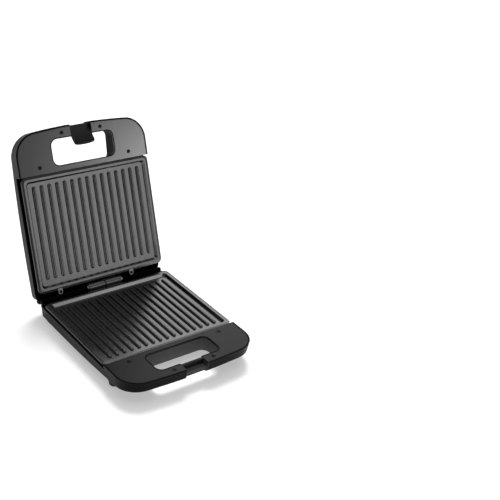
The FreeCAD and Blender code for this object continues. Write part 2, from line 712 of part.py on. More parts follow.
def make_base_shell():
    depth = size.base_depth + 1
    prism = extrude(
        "base_prism", Profile("base_outline", offset=-parting).housing(Dim.of(0)), depth,
        down=True, draft=size.base_draft,
    )
    solid = common("base_solid", prism, belly("base_belly"))
    under = -size.base_recess.value - 1
    outer = round_edges(
        "base_rounded", solid, size.belly_edge,
        lambda edge: edge.BoundBox.ZMax < under,
    )
    hollow = extrude(
        "base_hollow", Profile("base_hollow_outline", offset=0).housing(size.wall), depth,
        down=True, draft=size.base_draft,
    )
    room_block = common("base_room_block", hollow, belly("base_floor", size.wall))
    room = round_edges(
        "base_room", room_block, size.belly_edge - size.wall,
        lambda edge: edge.BoundBox.ZMax < under,
    )
    notch = size.notch_half + size.wall
    floor = -size.base_depth - 1
    inside = [
        block("base_bulkhead", -half, half, bay_front - size.bulkhead, bay_front,
              floor, -cover_back),
        straight_slot("base_lining", size.slot_lining, floor, -cover_back),
        block("base_notch_block", -notch, notch, front, -size.slot_front, floor, -cover_back),
        block("base_hinge_seat", -size.hinge_half - size.hinge_ear - 2, size.hinge_half + 2,
              leaf_back, size.bay_length, floor, -size.base_recess),
        block("terminal_pad", -size.terminal_half - 2, size.terminal_half + 2,
              size.terminal_front - 2, size.terminal_front + size.terminal_length + 2,
              floor, -size.floor_seat),
    ]
    inside += [
        rod(f"base_boss_{n}", x, y, floor, size.screw_boss, -cover_back - floor)
        for n, (x, y) in enumerate(screws)
    ]
    inside += [
        rod(f"base_post_{n}", x, ear_y, floor, size.ear_boss, -low_ear_back - floor)
        for n, x in enumerate((-size.ear_right, size.ear_left))
    ]
    shell = fuse(
        "base_walls", cut("base_skin", outer, room),
        common("base_inside", fuse("base_ribs", *inside), outer),
    )
    tools = [
        straight_slot("base_slot", Dim.of(0), 2 * floor, Dim.of(1)),
        block("base_notch", -size.notch_half, size.notch_half, front - 5,
              1 - size.slot_front, -size.catch_top, 1),
        block("latch_seat", -size.notch_half, size.notch_half, front - 5, ledge_front,
              2 * floor, 1),
        block("hook_recess", -size.notch_half, size.notch_half, front - 5,
              ledge_front + size.catch_reach, 2 * floor, -ledge_low),
        block("base_bay", -half - 10, half + 10, bay_front, size.bay_length + 10,
              -size.base_recess, 1),
        bushing_rod("bushing_hole", size.bushing_radius, -15, 15),
    ]
    tools += tongue_slots(
        "base_tongue", -size.tongue_down - size.tongue_thick - size.tongue_fit,
        -size.tongue_down + size.tongue_fit,
    )
    stop = cut("base_rail", rail("base_rail_round", size.base_rail, -size.base_rail_down), room)
    reach = size.hinge_half + 2 * size.hinge_ear
    gap = block("base_rail_gap", -reach, reach, size.hinge_y, size.bay_length + 10,
                -size.base_recess, 1)
    pads = [
        rod(f"{name}_boss", x, y, -seat, size.foot_boss, seat - size.base_recess)
        for name, (x, y, seat) in feet.items()
    ]
    sole_pads = cut("foot_bosses", fuse("foot_boss_rods", *pads), room)
    return fuse(
        "base_shell", cut("base_open", shell, fuse("base_tools", *tools)),
        cut("base_stop", stop, gap), sole_pads,
    )


def make_base_cover():
    outline = Profile("base_cover_outline", offset=-parting).housing(size.wall + size.cover_gap)
    plate = common(
        "base_cover_plate",
        extrude("base_cover_prism", outline, size.cover, down=True, draft=size.base_draft),
        block("base_cover_block", -half, half, front, bay_front, -half, 0),
    )
    tools = [
        straight_slot("base_cover_slot", Dim.of(0), Dim.of(-10), Dim.of(1)),
        block("base_cover_notch", -size.notch_half, size.notch_half, front - 5,
              1 - size.slot_front, -5, 1),
    ]
    for n, (x, y) in enumerate(screws):
        sunk = parting + size.screw_sunk
        tools.append(rod(f"base_recess_{n}", x, y, -sunk, size.screw_recess, sunk))
        tools.append(rod(f"base_hole_{n}", x, y, -size.base_depth, size.screw_bore,
                         size.base_depth))
    return cut("base_handle_cover", plate, fuse("base_cover_tools", *tools))


# ---------------------------------------------------------------- grill plates and heating

def make_plate(name, side):
    """A die-cast grill plate; side is 1 in the lid and -1 in the base."""
    body = new_body(name)
    away = side < 0

    def outline(tag, level, inset, corner):
        sketch = Profile(f"{name}_{tag}", body, "XY", side * level)
        return sketch.rounded(
            inset - size.plate_half, size.plate_half - inset,
            size.plate_front + inset, size.plate_rear - inset, corner,
        )

    corner = size.plate_corner
    edge_level = size.plate_lip + size.flange_drop
    pad(body, outline("rim", edge_level, Dim.of(0), corner),
        size.rim_thick - size.flange_drop, reverse=away)
    flange = body.newObject("PartDesign::AdditiveLoft", f"{name}_flange")
    flange.Profile = outline("flange_edge", edge_level, Dim.of(0), corner)
    flange.Sections = [outline("crest", size.plate_lip, size.flange_width, corner - 2)]
    doc.recompute()
    step = size.skirt_step
    pad(body, outline("band", rim_back, step, corner - step), size.skirt_band, reverse=away)
    pad(body, outline("skirt", band_back, 2 * step, corner - 2 * step),
        size.skirt_depth - band_back, reverse=away)
    inner = 2 * step + size.skirt_wall
    pocket(body, outline("back", size.skirt_depth, inner, corner - inner),
           size.skirt_depth - plate_back, reverse=away)
    dish = body.newObject("PartDesign::SubtractiveLoft", f"{name}_dish")
    brink = size.flange_width + size.rim_width
    dish.Profile = outline("brink", size.plate_lip, brink, corner - 3)
    dish.Sections = [outline("sole", dish_floor, brink + size.dish_slope, corner - 3)]
    doc.recompute()
    level = side * size.plate_lip.value
    brink_half = (size.plate_half - brink).value + 0.1
    low_y = (size.plate_front + brink).value - 0.1
    high_y = (size.plate_rear - brink).value + 0.1
    body_fillet(body, Dim.of(0.9), lambda edge: abs(edge.BoundBox.ZMin - level) < 0.01
                and abs(edge.BoundBox.ZMax - level) < 0.01
                and edge.BoundBox.YMin > low_y and edge.BoundBox.YMax < high_y
                and max(edge.BoundBox.XMax, -edge.BoundBox.XMin) < brink_half)

    ribs_wanted = size.upper_ribs if side > 0 else size.lower_ribs
    first = Profile(f"{name}_rib", body, "YZ", -size.rib_span / 2)
    sketch = first.sketch
    bind(sketch, AttachmentOffset__Base__y=side * dish_floor)
    start, end, r = size.rib_start.value, size.rib_end.value, size.rib_radius.value
    axis = first.line((start, 0), (end, 0))
    tail = first.arc((end - r, 0), r, 0, 90)
    ridge = first.line((end - r, r), (start + r, r))
    nose = first.arc((start + r, 0), r, 90, 180)
    first.limit("Coincident", axis, 2, tail, 1)
    first.limit("Tangent", tail, 2, ridge, 1)
    first.limit("Tangent", ridge, 2, nose, 1)
    first.limit("Coincident", nose, 2, axis, 1)
    first.limit("PointOnObject", tail, 3, axis)
    first.limit("PointOnObject", nose, 3, axis)
    first.limit("PointOnObject", axis, 1, -1)
    first.limit("PointOnObject", axis, 2, -1)
    first.limit("Radius", tail, size.rib_radius)
    first.limit("Radius", nose, size.rib_radius)
    first.limit("DistanceX", -1, 1, axis, 1, size.rib_start)
    first.limit("DistanceX", -1, 1, axis, 2, size.rib_end)
    rib = body.newObject("PartDesign::Revolution", f"{name}_first_rib")
    rib.Profile = sketch
    rib.ReferenceAxis = (sketch, ["H_Axis"])
    rib.Angle = 360
    doc.recompute()
    ribs = body.newObject("PartDesign::LinearPattern", f"{name}_ribs")
    ribs.Originals = [rib]
    x_axis = [f for f in body.Origin.OriginFeatures if f.Role == "X_Axis"][0]
    ribs.Direction = (x_axis, [""])
    bind(ribs, Length=size.rib_span, Occurrences=ribs_wanted)
    body.Tip = ribs
    doc.recompute()

    ears = {"right": side * size.ear_right, "left": -side * size.ear_left}
    ear_back = low_ear_back if away else rim_back
    for where, x in ears.items():
        ear = Profile(f"{name}_ear_{where}", body, "XY", side * ear_back)
        pad(body, ear.rounded(
            x - size.ear_radius, x + size.ear_radius, size.plate_rear - size.ear_radius - 1,
            ear_y + size.ear_radius, size.ear_radius - 0.01), size.ear_thick, reverse=not away)
    for where, x in ears.items():
        hole = Profile(f"{name}_ear_hole_{where}", body, "XY", side * ear_back)
        pocket(body, hole.circle(x, ear_y, size.ear_hole), size.ear_thick, reverse=away)
    for where, x in (("left", -size.tongue_x), ("right", size.tongue_x)):
        tongue = Profile(f"{name}_tongue_{where}", body, "XY", side * size.tongue_down)
        tip = bay_front - size.tongue_reach
        pad(body, tongue.polygon(
            (x - size.tongue_half, tip), (x + size.tongue_half, tip),
            (x + size.tongue_half, size.plate_front + 3 * step),
            (x - size.tongue_half, size.plate_front + 3 * step)),
            size.tongue_thick, reverse=away)
    return body


def make_heater(name, side):
    """A tubular heating element bent into a U, lying on the back of its plate."""
    body = new_body(name)
    level = side * (plate_back + size.heater_radius)
    path = Profile(f"{name}_path", body, "XY", level)
    a, b = size.heater_half.value, size.heater_bend.value
    y0, y1 = size.heater_front.value, size.heater_rear.value
    left = path.line((-a, y1), (-a, y0 + b))
    bend_left = path.arc((b - a, y0 + b), b, 180, 270)
    cross = path.line((b - a, y0), (a - b, y0))
    bend_right = path.arc((a - b, y0 + b), b, 270, 360)
    right = path.line((a, y0 + b), (a, y1))
    path.limit("Tangent", left, 2, bend_left, 1)
    path.limit("Tangent", bend_left, 2, cross, 1)
    path.limit("Tangent", cross, 2, bend_right, 1)
    path.limit("Tangent", bend_right, 2, right, 1)
    path.limit("Vertical", left)
    path.limit("Vertical", right)
    path.limit("Horizontal", cross)
    path.limit("Radius", bend_left, size.heater_bend)
    path.limit("Radius", bend_right, size.heater_bend)
    path.limit("DistanceX", -1, 1, left, 1, -size.heater_half)
    path.limit("DistanceX", -1, 1, right, 2, size.heater_half)
    path.limit("DistanceY", -1, 1, left, 1, size.heater_rear)
    path.limit("DistanceY", -1, 1, right, 2, size.heater_rear)
    path.limit("DistanceY", -1, 1, cross, 1, size.heater_front)
    ring = Profile(f"{name}_section", body, "XZ", -size.heater_rear)
    section = ring.circle(-size.heater_half, level, size.heater_radius)
    pipe = body.newObject("PartDesign::AdditivePipe", f"{name}_pipe")
    pipe.Profile = section
    pipe.Spine = (path.sketch, [])
    doc.recompute()
    return body


def make_tray(name, side):
    """The folded heat shield between a plate and its housing."""
    def box(tag, level, inset, height):
        corner = size.plate_corner - inset
        sketch = Profile(f"{name}_{tag}", offset=side * level).rounded(
            inset - size.tray_half, size.tray_half - inset,
            size.tray_front + inset, size.tray_rear - inset, corner)
        return extrude(f"{name}_{tag}_block", sketch, height, down=side < 0)

    sheet = size.tray_wall
    return cut(name, box("outer", plate_back, Dim.of(0), size.tray_height),
               box("inner", plate_back, sheet, size.tray_height - sheet))


def make_thermostat():
    """A disc thermostat on the back of the upper heat shield, with its two blade terminals."""
    seat = plate_back + size.tray_height
    x, y = size.thermostat_x, size.thermostat_y
    cap = rod("thermostat_can", x, y, seat, size.thermostat_radius, size.thermostat_height / 2)
    top = rod("thermostat_body", x, y, seat, size.thermostat_radius * 0.8, size.thermostat_height)
    reach = size.thermostat_radius + 3
    blades = block("thermostat_blades", x - reach, x + reach, y - 2, y + 2,
                   seat + size.thermostat_height / 2, seat + size.thermostat_height / 2 + 0.8)
    return fuse("thermostat", cap, top, blades)


# ---------------------------------------------------------------- trim and signal lamps

def lamp_pill(name, inset, low, high):
    """A stadium round the lamp window's middle, drawn in by inset."""
    across = size.lamp_radius - inset
    along = size.lamp_half - inset
    sketch = Profile(f"{name}_outline", offset=low).rounded(
        -across, across, size.lamp_y - along, size.lamp_y + along, across - 0.01)
    return extrude(name, sketch, Dim.of(high) - low)


def make_trim_strip():
    outline = Profile("strip_outline", offset=size.lid_recess).rounded(
        -size.strip_half, size.strip_half, size.strip_front, size.strip_rear, size.strip_corner)
    sheet = common(
        "strip_sheet", extrude("strip_prism", outline, size.lid_height),
        crown_layer("strip_layer", size.strip_sunk, size.strip_sunk + size.strip_thick),
    )
    window = lamp_pill("strip_window", Dim.of(-0.15), size.lamp_seat, size.lid_height + 1)
    return cut("trim_strip", sheet, window)


def make_lamp_bezel():
    seat, high = size.lamp_seat, size.lid_height + 1
    ring = cut("bezel_ring", lamp_pill("bezel_outer", Dim.of(0), seat, high),
               lamp_pill("bezel_inner", size.bezel_wall, seat - 1, high + 1))
    bar = block("bezel_bar", -size.lamp_radius + size.bezel_wall / 2,
                size.lamp_radius - size.bezel_wall / 2,
                size.lamp_y - size.divider / 2, size.lamp_y + size.divider / 2, seat, high)
    frame = common("bezel_frame", fuse("bezel_whole", ring, bar),
                   crown("bezel_top", size.strip_sunk - size.bezel_proud))
    channel_under = size.strip_sunk + size.strip_thick + size.channel_floor
    flange = common("bezel_flange", lamp_pill("bezel_flange_pill", -size.bezel_flange, seat, high),
                    crown("bezel_flange_top", channel_under))
    opening = lamp_pill("bezel_opening", size.bezel_wall, seat - 1, high + 1)
    return fuse("lamp_bezel", frame, cut("bezel_rim", flange, opening))


def make_lens(name, side):
    """Half of the lamp window; side is 1 towards the hinge and -1 towards the handle."""
    pill = lamp_pill(f"{name}_pill", size.bezel_wall + size.lens_air, size.lamp_seat,
                     size.lid_height + 1)
    edge = size.lamp_y + side * (size.divider / 2 + size.lens_air)
    far_end = size.lamp_y + side * size.lamp_half
    y0, y1 = (edge, far_end) if side > 0 else (far_end, edge)
    kept = block(f"{name}_half", -half, half, y0, y1, size.lamp_seat, size.lid_height + 1)
    dome = crown(f"{name}_dome", size.strip_sunk)
    return common(name, common(f"{name}_rough", pill, kept), dome)


def make_lamp_holder():
    """The carrier under the lenses, with a round seat for each neon lamp."""
    low = size.lamp_seat - size.holder_height
    base = lamp_pill("holder_plate", Dim.of(-2), low, size.lamp_seat)
    lamps = [
        rod(f"holder_lamp_{n}", -size.lamp_radius - 2.5, size.lamp_y + y, low,
            2.4, 2 * size.lamp_radius + 5, AXIS_X)
        for n, y in enumerate((-size.lamp_half / 2, size.lamp_half / 2))
    ]
    return fuse("lamp_holder", base, *lamps)


# ---------------------------------------------------------------- hinge

def make_hinge_half(name, side):
    """Knuckle, outer ear and leaf of one hinge half; side is 1 in the lid, -1 in the base.

    The lid's long knuckle lies left of the middle and its ear at the right end, and the
    base's the other way round."""
    y = size.hinge_y
    air = size.hinge_air / 2
    middle = size.hinge_middle / 2
    reach = size.hinge_half
    tip = reach + size.hinge_ear
    back = leaf_back - size.hinge_leaf

    def span(tag, from_x, to_x):
        """A knuckle between two distances from the middle, on this half's own side."""
        if side < 0:
            low_x, high_x = from_x, to_x
        else:
            low_x, high_x = -to_x, -from_x
        barrel = rod(f"{name}_{tag}", low_x, y, 0, size.hinge_radius, high_x - low_x, AXIS_X)
        web = (block(f"{name}_{tag}_web", low_x, high_x, back, leaf_back,
                     0, size.hinge_leaf_start)
               if side > 0 else
               block(f"{name}_{tag}_web", low_x, high_x, back, leaf_back,
                     -size.hinge_leaf_start, 0))
        return [barrel, web]

    knuckles = span("knuckle", middle, reach - air) + span("ear", -tip, -reach - air)
    wide = (reach - air, tip)
    low_x, high_x = (-wide[0], wide[1]) if side > 0 else (-wide[1], wide[0])
    if side > 0:
        leaf = block(f"{name}_leaf", low_x, high_x, back, leaf_back,
                     size.hinge_leaf_start, size.hinge_leaf_reach)
    else:
        leaf = block(f"{name}_leaf", low_x, high_x, back, leaf_back,
                     -size.hinge_leaf_reach, -size.hinge_leaf_start)
    fit = size.pin_fit if side > 0 else 0
    bore = rod(f"{name}_bore", -tip - 1, y, 0, size.hinge_pin + fit, 2 * tip + 2, AXIS_X)
    return cut(name, fuse(f"{name}_solid", leaf, *knuckles), bore)


def turned_pin(name, radius, left, right, end_radius, end_length):
    """A pin along X, from left to right, with ends of another radius beyond them."""
    body = new_body(name)
    profile = Profile(f"{name}_profile", body, "XY")
    first = left - end_length
    last = right + end_length
    profile.polygon(
        (first, 0), (first, end_radius), (left, end_radius), (left, radius),
        (right, radius), (right, end_radius), (last, end_radius), (last, 0),
    )
    turn = body.newObject("PartDesign::Revolution", f"{name}_turned")
    turn.Profile = profile.sketch
    turn.ReferenceAxis = (profile.sketch, ["H_Axis"])
    turn.Angle = 360
    doc.recompute()
    return body


def make_hinge_pin():
    """The steel hinge pin, fast in the base's half, with its left head against the ear."""
    tip = size.hinge_half + size.hinge_ear
    return turned_pin("hinge_pin", size.hinge_pin, -tip, tip + size.hinge_air,
                      size.pin_head, Dim.of(1.6))


def make_latch_pin():
    """The plain steel pin of the latch, fast in the two cheeks of the lid's notch."""
    reach = size.notch_half + size.wall - 0.5
    return turned_pin("latch_pin", size.latch_pin_radius, -reach, reach,
                      size.latch_pin_radius - 0.3, Dim.of(0.5))


# ---------------------------------------------------------------- latch

def make_latch():
    """The latch as it hangs when it is hooked under the base's ledge."""
    body = new_body("latch")
    outer = front + size.latch_set
    inner = outer + size.latch_plate
    top = size.latch_pin_up
    hook_top = -ledge_low - size.hook_air
    hook_low = hook_top - size.hook_thick
    tab_low = hook_low - size.tab_drop
    profile = Profile("latch_profile", body, "YZ")
    pad(body, profile.polygon(
        (outer, top), (pin_y, top + size.latch_knuckle), (pin_y, top - size.latch_knuckle),
        (inner, top - 2 * size.latch_knuckle),
        (inner, hook_top), (inner + size.hook_reach, hook_top),
        (inner + size.hook_reach - size.hook_thick / 3, hook_low), (inner, hook_low),
        (inner - size.tab_kick / 2, hook_low - size.tab_drop / 2),
        (outer - size.tab_kick / 2 + size.latch_plate / 3, tab_low),
        (outer - size.tab_kick, tab_low), (outer - size.tab_kick, tab_low + 1.6),
        (outer, hook_low + 1.5)), size.latch_width, middle=True)
    knuckle = Profile("latch_knuckle", body, "YZ")
    pad(body, knuckle.circle(pin_y, size.latch_pin_up, size.latch_knuckle),
        size.latch_width, middle=True)
    bore = Profile("latch_bore", body, "YZ")
    pocket(body, bore.circle(pin_y, size.latch_pin_up, size.latch_pin_radius + size.pin_fit),
           2 * size.latch_width, middle=True)
    trim = Profile("latch_trim", body, "XZ")
    across = size.latch_width / 2
    trim.rounded(-across, across, tab_low, top + size.latch_knuckle + size.tab_corner,
                 size.tab_corner)
    beyond = size.latch_width
    trim.polygon((-beyond, tab_low - beyond), (beyond, tab_low - beyond),
                 (beyond, top + beyond), (-beyond, top + beyond))
    pocket(body, trim.sketch, 4 * size.handle_depth, middle=True)
    return body


# ---------------------------------------------------------------- base details

def make_foot(name, seat):
    body = new_body(name)
    profile = Profile(f"{name}_profile", body, "XZ")
    sole = -size.stand
    pad_top = size.foot_top
    profile.polygon(
        (0, -seat), (pad_top, -seat), (size.foot_bottom, sole + size.foot_edge),
        (size.foot_bottom - size.foot_edge, sole), (0, sole),
    )
    turn = body.newObject("PartDesign::Revolution", f"{name}_turned")
    turn.Profile = profile.sketch
    turn.ReferenceAxis = (profile.sketch, ["V_Axis"])
    turn.Angle = 360
    doc.recompute()
    return body


def make_terminal_block():
    low = -size.floor_seat
    front_y = size.terminal_front
    bar = block("terminal_bar", -size.terminal_half, size.terminal_half, front_y,
                front_y + size.terminal_length, low, low + size.terminal_height)
    holes = [
        rod(f"terminal_hole_{n}", x, front_y + size.terminal_length / 2, low + 2, 2.2, FAR)
        for n, x in enumerate((-size.terminal_half * 0.6, Dim.of(0), size.terminal_half * 0.6))
    ]
    return cut("terminal_block", bar, fuse("terminal_holes", *holes))


def make_cord_bushing():
    """The flexible bushing in the rear wall where the mains lead would leave."""
    inside = -size.wall.value / math.cos(math.radians(size.base_draft.value))
    neck = bushing_rod("bushing_neck", size.bushing_radius, inside - 4, 3.5)
    flange = bushing_rod("bushing_flange", size.bushing_flange, 0, 1.8)
    collar = bushing_rod("bushing_collar", size.bushing_flange, inside - 2, inside)
    bore = bushing_rod("bushing_bore", size.bushing_bore, -20, 20)
    return cut("cord_bushing", fuse("bushing_solid", neck, flange, collar), bore)


# ---------------------------------------------------------------- assembly

base_parts = [
    make_base_shell(),
    make_base_cover(),
    make_plate("lower_plate", -1),
    make_heater("lower_heater", -1),
    make_tray("lower_heat_shield", -1),
    make_hinge_half("base_hinge_half", -1),
    make_terminal_block(),
    make_cord_bushing(),
]
lid_parts = [
    make_lid_shell(),
    make_lid_cover(),
    make_plate("upper_plate", 1),
    make_heater("upper_heater", 1),
    make_tray("upper_heat_shield", 1),
    make_thermostat(),
    make_trim_strip(),
    make_lamp_bezel(),
    make_lens("lamp_lens_green", 1),
    make_lens("lamp_lens_red", -1),
    make_lamp_holder(),
    make_hinge_half("lid_hinge_half", 1),
]
hinge_pin = make_hinge_pin()
latch_pin = make_latch_pin()
latch = make_latch()
foot_parts = {name: make_foot(name, seat) for name, (x, y, seat) in feet.items()}
doc.recompute()

# The lid swings about the hinge axis, and the latch about its own pin within the lid.
# Pieces are drawn with the lid shut and latched, and placed with the lid open.
hinge_axis = Vector(0, size.hinge_y.value, 0)
latch_axis = Vector(0, pin_y.value, size.latch_pin_up.value)
swing = Placement(Vector(0, 0, 0), Rotation(Vector(1, 0, 0), -size.open_angle.value), hinge_axis)
fold = Placement(Vector(0, 0, 0), Rotation(Vector(1, 0, 0), size.latch_inward.value), latch_axis)

poses = [(part, Placement()) for part in base_parts]
poses += [(part, swing) for part in lid_parts]
poses += [(hinge_pin, Placement(hinge_axis, Rotation()))]
poses += [(latch_pin, swing * Placement(latch_axis, Rotation()))]
poses += [(latch, swing * fold)]
for name, (x, y, seat) in feet.items():
    poses.append((foot_parts[name], Placement(Vector(x.value, Dim.of(y).value, 0), Rotation())))
for part, pose in poses:
    part.Placement = pose
doc.recompute()

nodes = [part for part, pose in poses]
rest_box = FreeCAD.BoundBox()
for part in nodes:
    rest_box.add(part.Shape.optimalBoundingBox(False))
to_origin = Placement(Vector(0, -rest_box.Center.y, -rest_box.ZMin), Rotation())
for part, pose in poses:
    part.Placement = to_origin * pose
    part.Label = part.Name
doc.recompute()

for thing in doc.Objects:
    if "Invalid" in thing.State or "Error" in thing.State:
        raise RuntimeError(f"{thing.Name} failed: {thing.State}")
for part in nodes:
    shape = part.Shape
    if shape.isNull() or not shape.isValid() or len(shape.Solids) != 1:
        raise RuntimeError(f"{part.Label} isn't one valid solid")

os.makedirs("parts", exist_ok=True)
for part in nodes:
    part.Shape.exportStep(f"parts/{part.Label}.step")

hinge_place = to_origin.multVec(hinge_axis)
latch_place = (to_origin * swing).multVec(latch_axis)
print("hinge axis", hinge_place)
print("latch axis", latch_place)
print("rest box", rest_box.XLength, rest_box.YLength, rest_box.ZLength)
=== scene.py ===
"""The looks of a two-plate panini press, built round its CAD frame.

The press stands open. x runs to the user's right, y from the handles to the hinge and z up,
in metres. Places on a housing are given from the hinge's axis: x across, `ahead` towards the
handles and `up` from the plane where the closed housings meet. Those places are in
millimetres, except inside a material, which reads metres."""

import json
import math

import bmesh
import bpy
from mathutils import Matrix, Vector


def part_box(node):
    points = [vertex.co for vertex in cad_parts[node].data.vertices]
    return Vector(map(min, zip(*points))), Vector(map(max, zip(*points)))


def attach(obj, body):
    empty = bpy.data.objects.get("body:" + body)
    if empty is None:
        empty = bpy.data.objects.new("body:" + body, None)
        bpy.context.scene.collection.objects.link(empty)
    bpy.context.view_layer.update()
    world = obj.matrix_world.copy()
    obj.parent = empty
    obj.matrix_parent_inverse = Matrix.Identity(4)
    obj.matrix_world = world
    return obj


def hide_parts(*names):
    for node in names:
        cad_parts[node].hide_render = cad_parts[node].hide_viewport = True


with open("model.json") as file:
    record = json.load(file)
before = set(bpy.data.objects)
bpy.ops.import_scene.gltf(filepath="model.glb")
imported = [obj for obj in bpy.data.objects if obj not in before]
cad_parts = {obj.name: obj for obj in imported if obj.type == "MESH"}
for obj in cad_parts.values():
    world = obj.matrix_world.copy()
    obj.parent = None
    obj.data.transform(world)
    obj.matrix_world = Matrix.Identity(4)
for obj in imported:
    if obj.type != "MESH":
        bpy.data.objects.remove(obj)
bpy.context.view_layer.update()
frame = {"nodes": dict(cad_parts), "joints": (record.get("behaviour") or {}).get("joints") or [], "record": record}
joints = {joint["name"]: joint for joint in frame["joints"]}

LID_OPEN = math.radians(joints["lid_hinge"]["range_deg"][1])
HINGE = Vector(joints["lid_hinge"]["pos_m"])
OPENING = Matrix.Translation(HINGE) @ Matrix.Rotation(-LID_OPEN, 4, "X")
LATCH_PIVOT = Vector(joints["latch_pivot"]["pos_m"])
LATCH_FOLDED = math.radians(56)
MM = 0.001
BASE_PLACE = Matrix.Translation(HINGE)
PLACES = {"lid": OPENING, "base": BASE_PLACE}


# ---------------------------------------------------------------- node kit

class Socket:
    """An output of a node that plain arithmetic can be written with."""

    def __init__(self, nodes, output):
        self.nodes = nodes
        self.output = output

    def maths(self, operation, first, second):
        return self.nodes.add("Math", {"operation": operation}, {0: first, 1: second}).out(0)

    def __add__(self, other):
        return self.maths("ADD", self, other)

    def __sub__(self, other):
        return self.maths("SUBTRACT", self, other)

    def __rsub__(self, other):
        return self.maths("SUBTRACT", other, self)

    def __mul__(self, other):
        return self.maths("MULTIPLY", self, other)

    def __pow__(self, other):
        return self.maths("POWER", self, other)

    __radd__ = __add__
    __rmul__ = __mul__


class Node:
    """A node, with its outputs as Sockets."""

    def __init__(self, nodes, node):
        self.nodes = nodes
        self.node = node

    def out(self, key=0):
        return Socket(self.nodes, self.node.outputs[key])


class Nodes:
    """A node tree that is filled one node at a time."""

    def __init__(self, tree, family):
        self.tree = tree
        self.family = family

    def add(self, kind, settings=None, inputs=None, family=None):
        """Adds a node: its settings first, then the values or links of its sockets."""
        if kind in ("Math", "VectorMath", "Mix", "CombineXYZ", "SeparateXYZ", "MapRange"):
            family = "Shader"
        node = self.tree.nodes.new(f"{family or self.family}Node{kind}")
        for key, value in (settings or {}).items():
            setattr(node, key, value)
        for key, value in (inputs or {}).items():
            for one in value if isinstance(value, list) else [value]:
                if isinstance(one, Socket):
                    self.tree.links.new(one.output, node.inputs[key])
                else:
                    node.inputs[key].default_value = one
        return Node(self, node)


class Shader(Nodes):
    """A material made of nodes, ending in one Principled surface."""

    def __init__(self, name):
        self.material = bpy.data.materials.new(name)
        self.material.use_nodes = True
        super().__init__(self.material.node_tree, "Shader")
        self.tree.nodes.clear()
        self.place = self.add("TexCoord").out("Object")

    def noise(self, scale, detail=2.0, place=None, roughness=0.5):
        """Noise from 0 to 1 with scale cells to the metre."""
        return self.add("TexNoise", None, {
            "Vector": place or self.place, "Scale": scale, "Detail": detail,
            "Roughness": roughness,
        }).out("Fac")

    def mapped(self, scale, turn=(0, 0, 0)):
        """Object coordinates turned, then stretched."""
        turned = self.add("Mapping", {"vector_type": "POINT"},
                          {"Vector": self.place, "Rotation": turn}).out(0)
        return self.add("VectorMath", {"operation": "MULTIPLY"},
                        {0: turned, 1: scale}).out(0)

    def spread(self, value, low, high, start=0.0, end=1.0):
        """A value from start to end made one from low to high."""
        return self.add("MapRange", None, {
            "Value": value, "From Min": start, "From Max": end, "To Min": low, "To Max": high,
        }).out(0)

    def test(self, operation, first, second):
        """A Math node for masks: a comparison, a maximum or an absolute value."""
        return self.add("Math", {"operation": operation}, {0: first, 1: second}).out()

    def near(self, value, middle, reach):
        """One where a value lies within reach of middle."""
        return self.add("Math", {"operation": "COMPARE"},
                        {0: value, 1: middle, 2: reach}).out()

    def along(self, axis, vector):
        """How far a vector goes along an axis."""
        return self.add("VectorMath", {"operation": "DOT_PRODUCT"}, {0: vector, 1: axis}).out(1)

    def facing(self, axis):
        """How squarely the surface faces an axis."""
        return self.along(axis, self.add("TexCoord").out("Normal"))

    def blend(self, factor, first, second):
        """A colour between two."""
        return self.add("Mix", {"data_type": "RGBA"},
                        {0: factor, 6: first, 7: second}).out(2)

    def bumps(self, height, depth, normal=None):
        inputs = {"Height": height, "Distance": depth, "Strength": 1.0}
        if normal:
            inputs["Normal"] = normal
        return self.add("Bump", None, inputs).out(0)

    def rounded(self, radius):
        """A normal that softens the sharp edges of a moulding."""
        return self.add("Bevel", {"samples": 6}, {"Radius": radius}).out(0)

    def finish(self, **inputs):
        """The Principled surface; underscores stand for the spaces of its sockets' names."""
        named = {key.replace("_", " "): value for key, value in inputs.items()}
        surface = self.add("BsdfPrincipled", None, named)
        self.add("OutputMaterial", None, {"Surface": surface.out(0)})
        return self.material


def grey(level):
    return (level, level, level, 1)


# ---------------------------------------------------------------- finishes

# Parts of a housing, in metres from the hinge: (middle, reach) ahead, then reach across.
SLOT_AHEAD, SLOT_REACH = (0.2215, 0.0255), 0.0585
NOTCH_AHEAD, NOTCH_REACH = (0.260, 0.013), 0.0197
PLATE_SKIRT = 0.1105


def satin_housing(name, to_world, seam_side, slot_painted_light_grey):
    """Black thermoset: polished on the broad outer face, eroded on its rim by the seam.

    The walls of the finger slot and of the latch notch are eroded too, and painted the grey of the last argument:
    painted light that makes the base's walls as bright as a lit wall."""
    s = Shader(name)
    cloud = s.noise(9, 3)
    grain = s.noise(2600, 1)
    axes = to_world.to_3x3()
    seam = s.facing(axes @ Vector((0, 0, seam_side)))
    rim = s.test("GREATER_THAN", seam, 0.8)
    broad = s.test("LESS_THAN", seam, -0.6)
    from_hinge = s.add("VectorMath", {"operation": "SUBTRACT"},
                       {0: s.place, 1: to_world.translation}).out(0)
    ahead = s.along(axes @ Vector((0, -1, 0)), from_hinge)
    sideways = s.along((1, 0, 0), from_hinge)
    finger_slot = s.near(ahead, *SLOT_AHEAD) * s.near(sideways, 0.0, SLOT_REACH)
    latch_notch = s.near(ahead, *NOTCH_AHEAD) * s.near(sideways, 0.0, NOTCH_REACH)
    slot = s.test("MAXIMUM", finger_slot, latch_notch * 0.6)
    eroded = s.test("MAXIMUM", rim, slot)
    polish = s.spread(cloud * 0.6 + grain * 0.4, 0.30, 0.44, 0.3, 0.7)
    return s.finish(
        # painted light: the slot and notch walls take a grey that stands in for the light they catch
        Base_Color=s.blend(slot, s.blend(cloud, grey(0.003), grey(0.006)), grey(slot_painted_light_grey)),
        Roughness=s.test("MAXIMUM", polish, eroded * 0.62),
        Normal=s.bumps(grain, 0.012 * MM, s.rounded(0.5 * MM)),
        Specular_IOR_Level=0.06,
        Coat_Weight=broad * (0.5 - 0.5 * eroded),
        Coat_Roughness=0.14,
    )


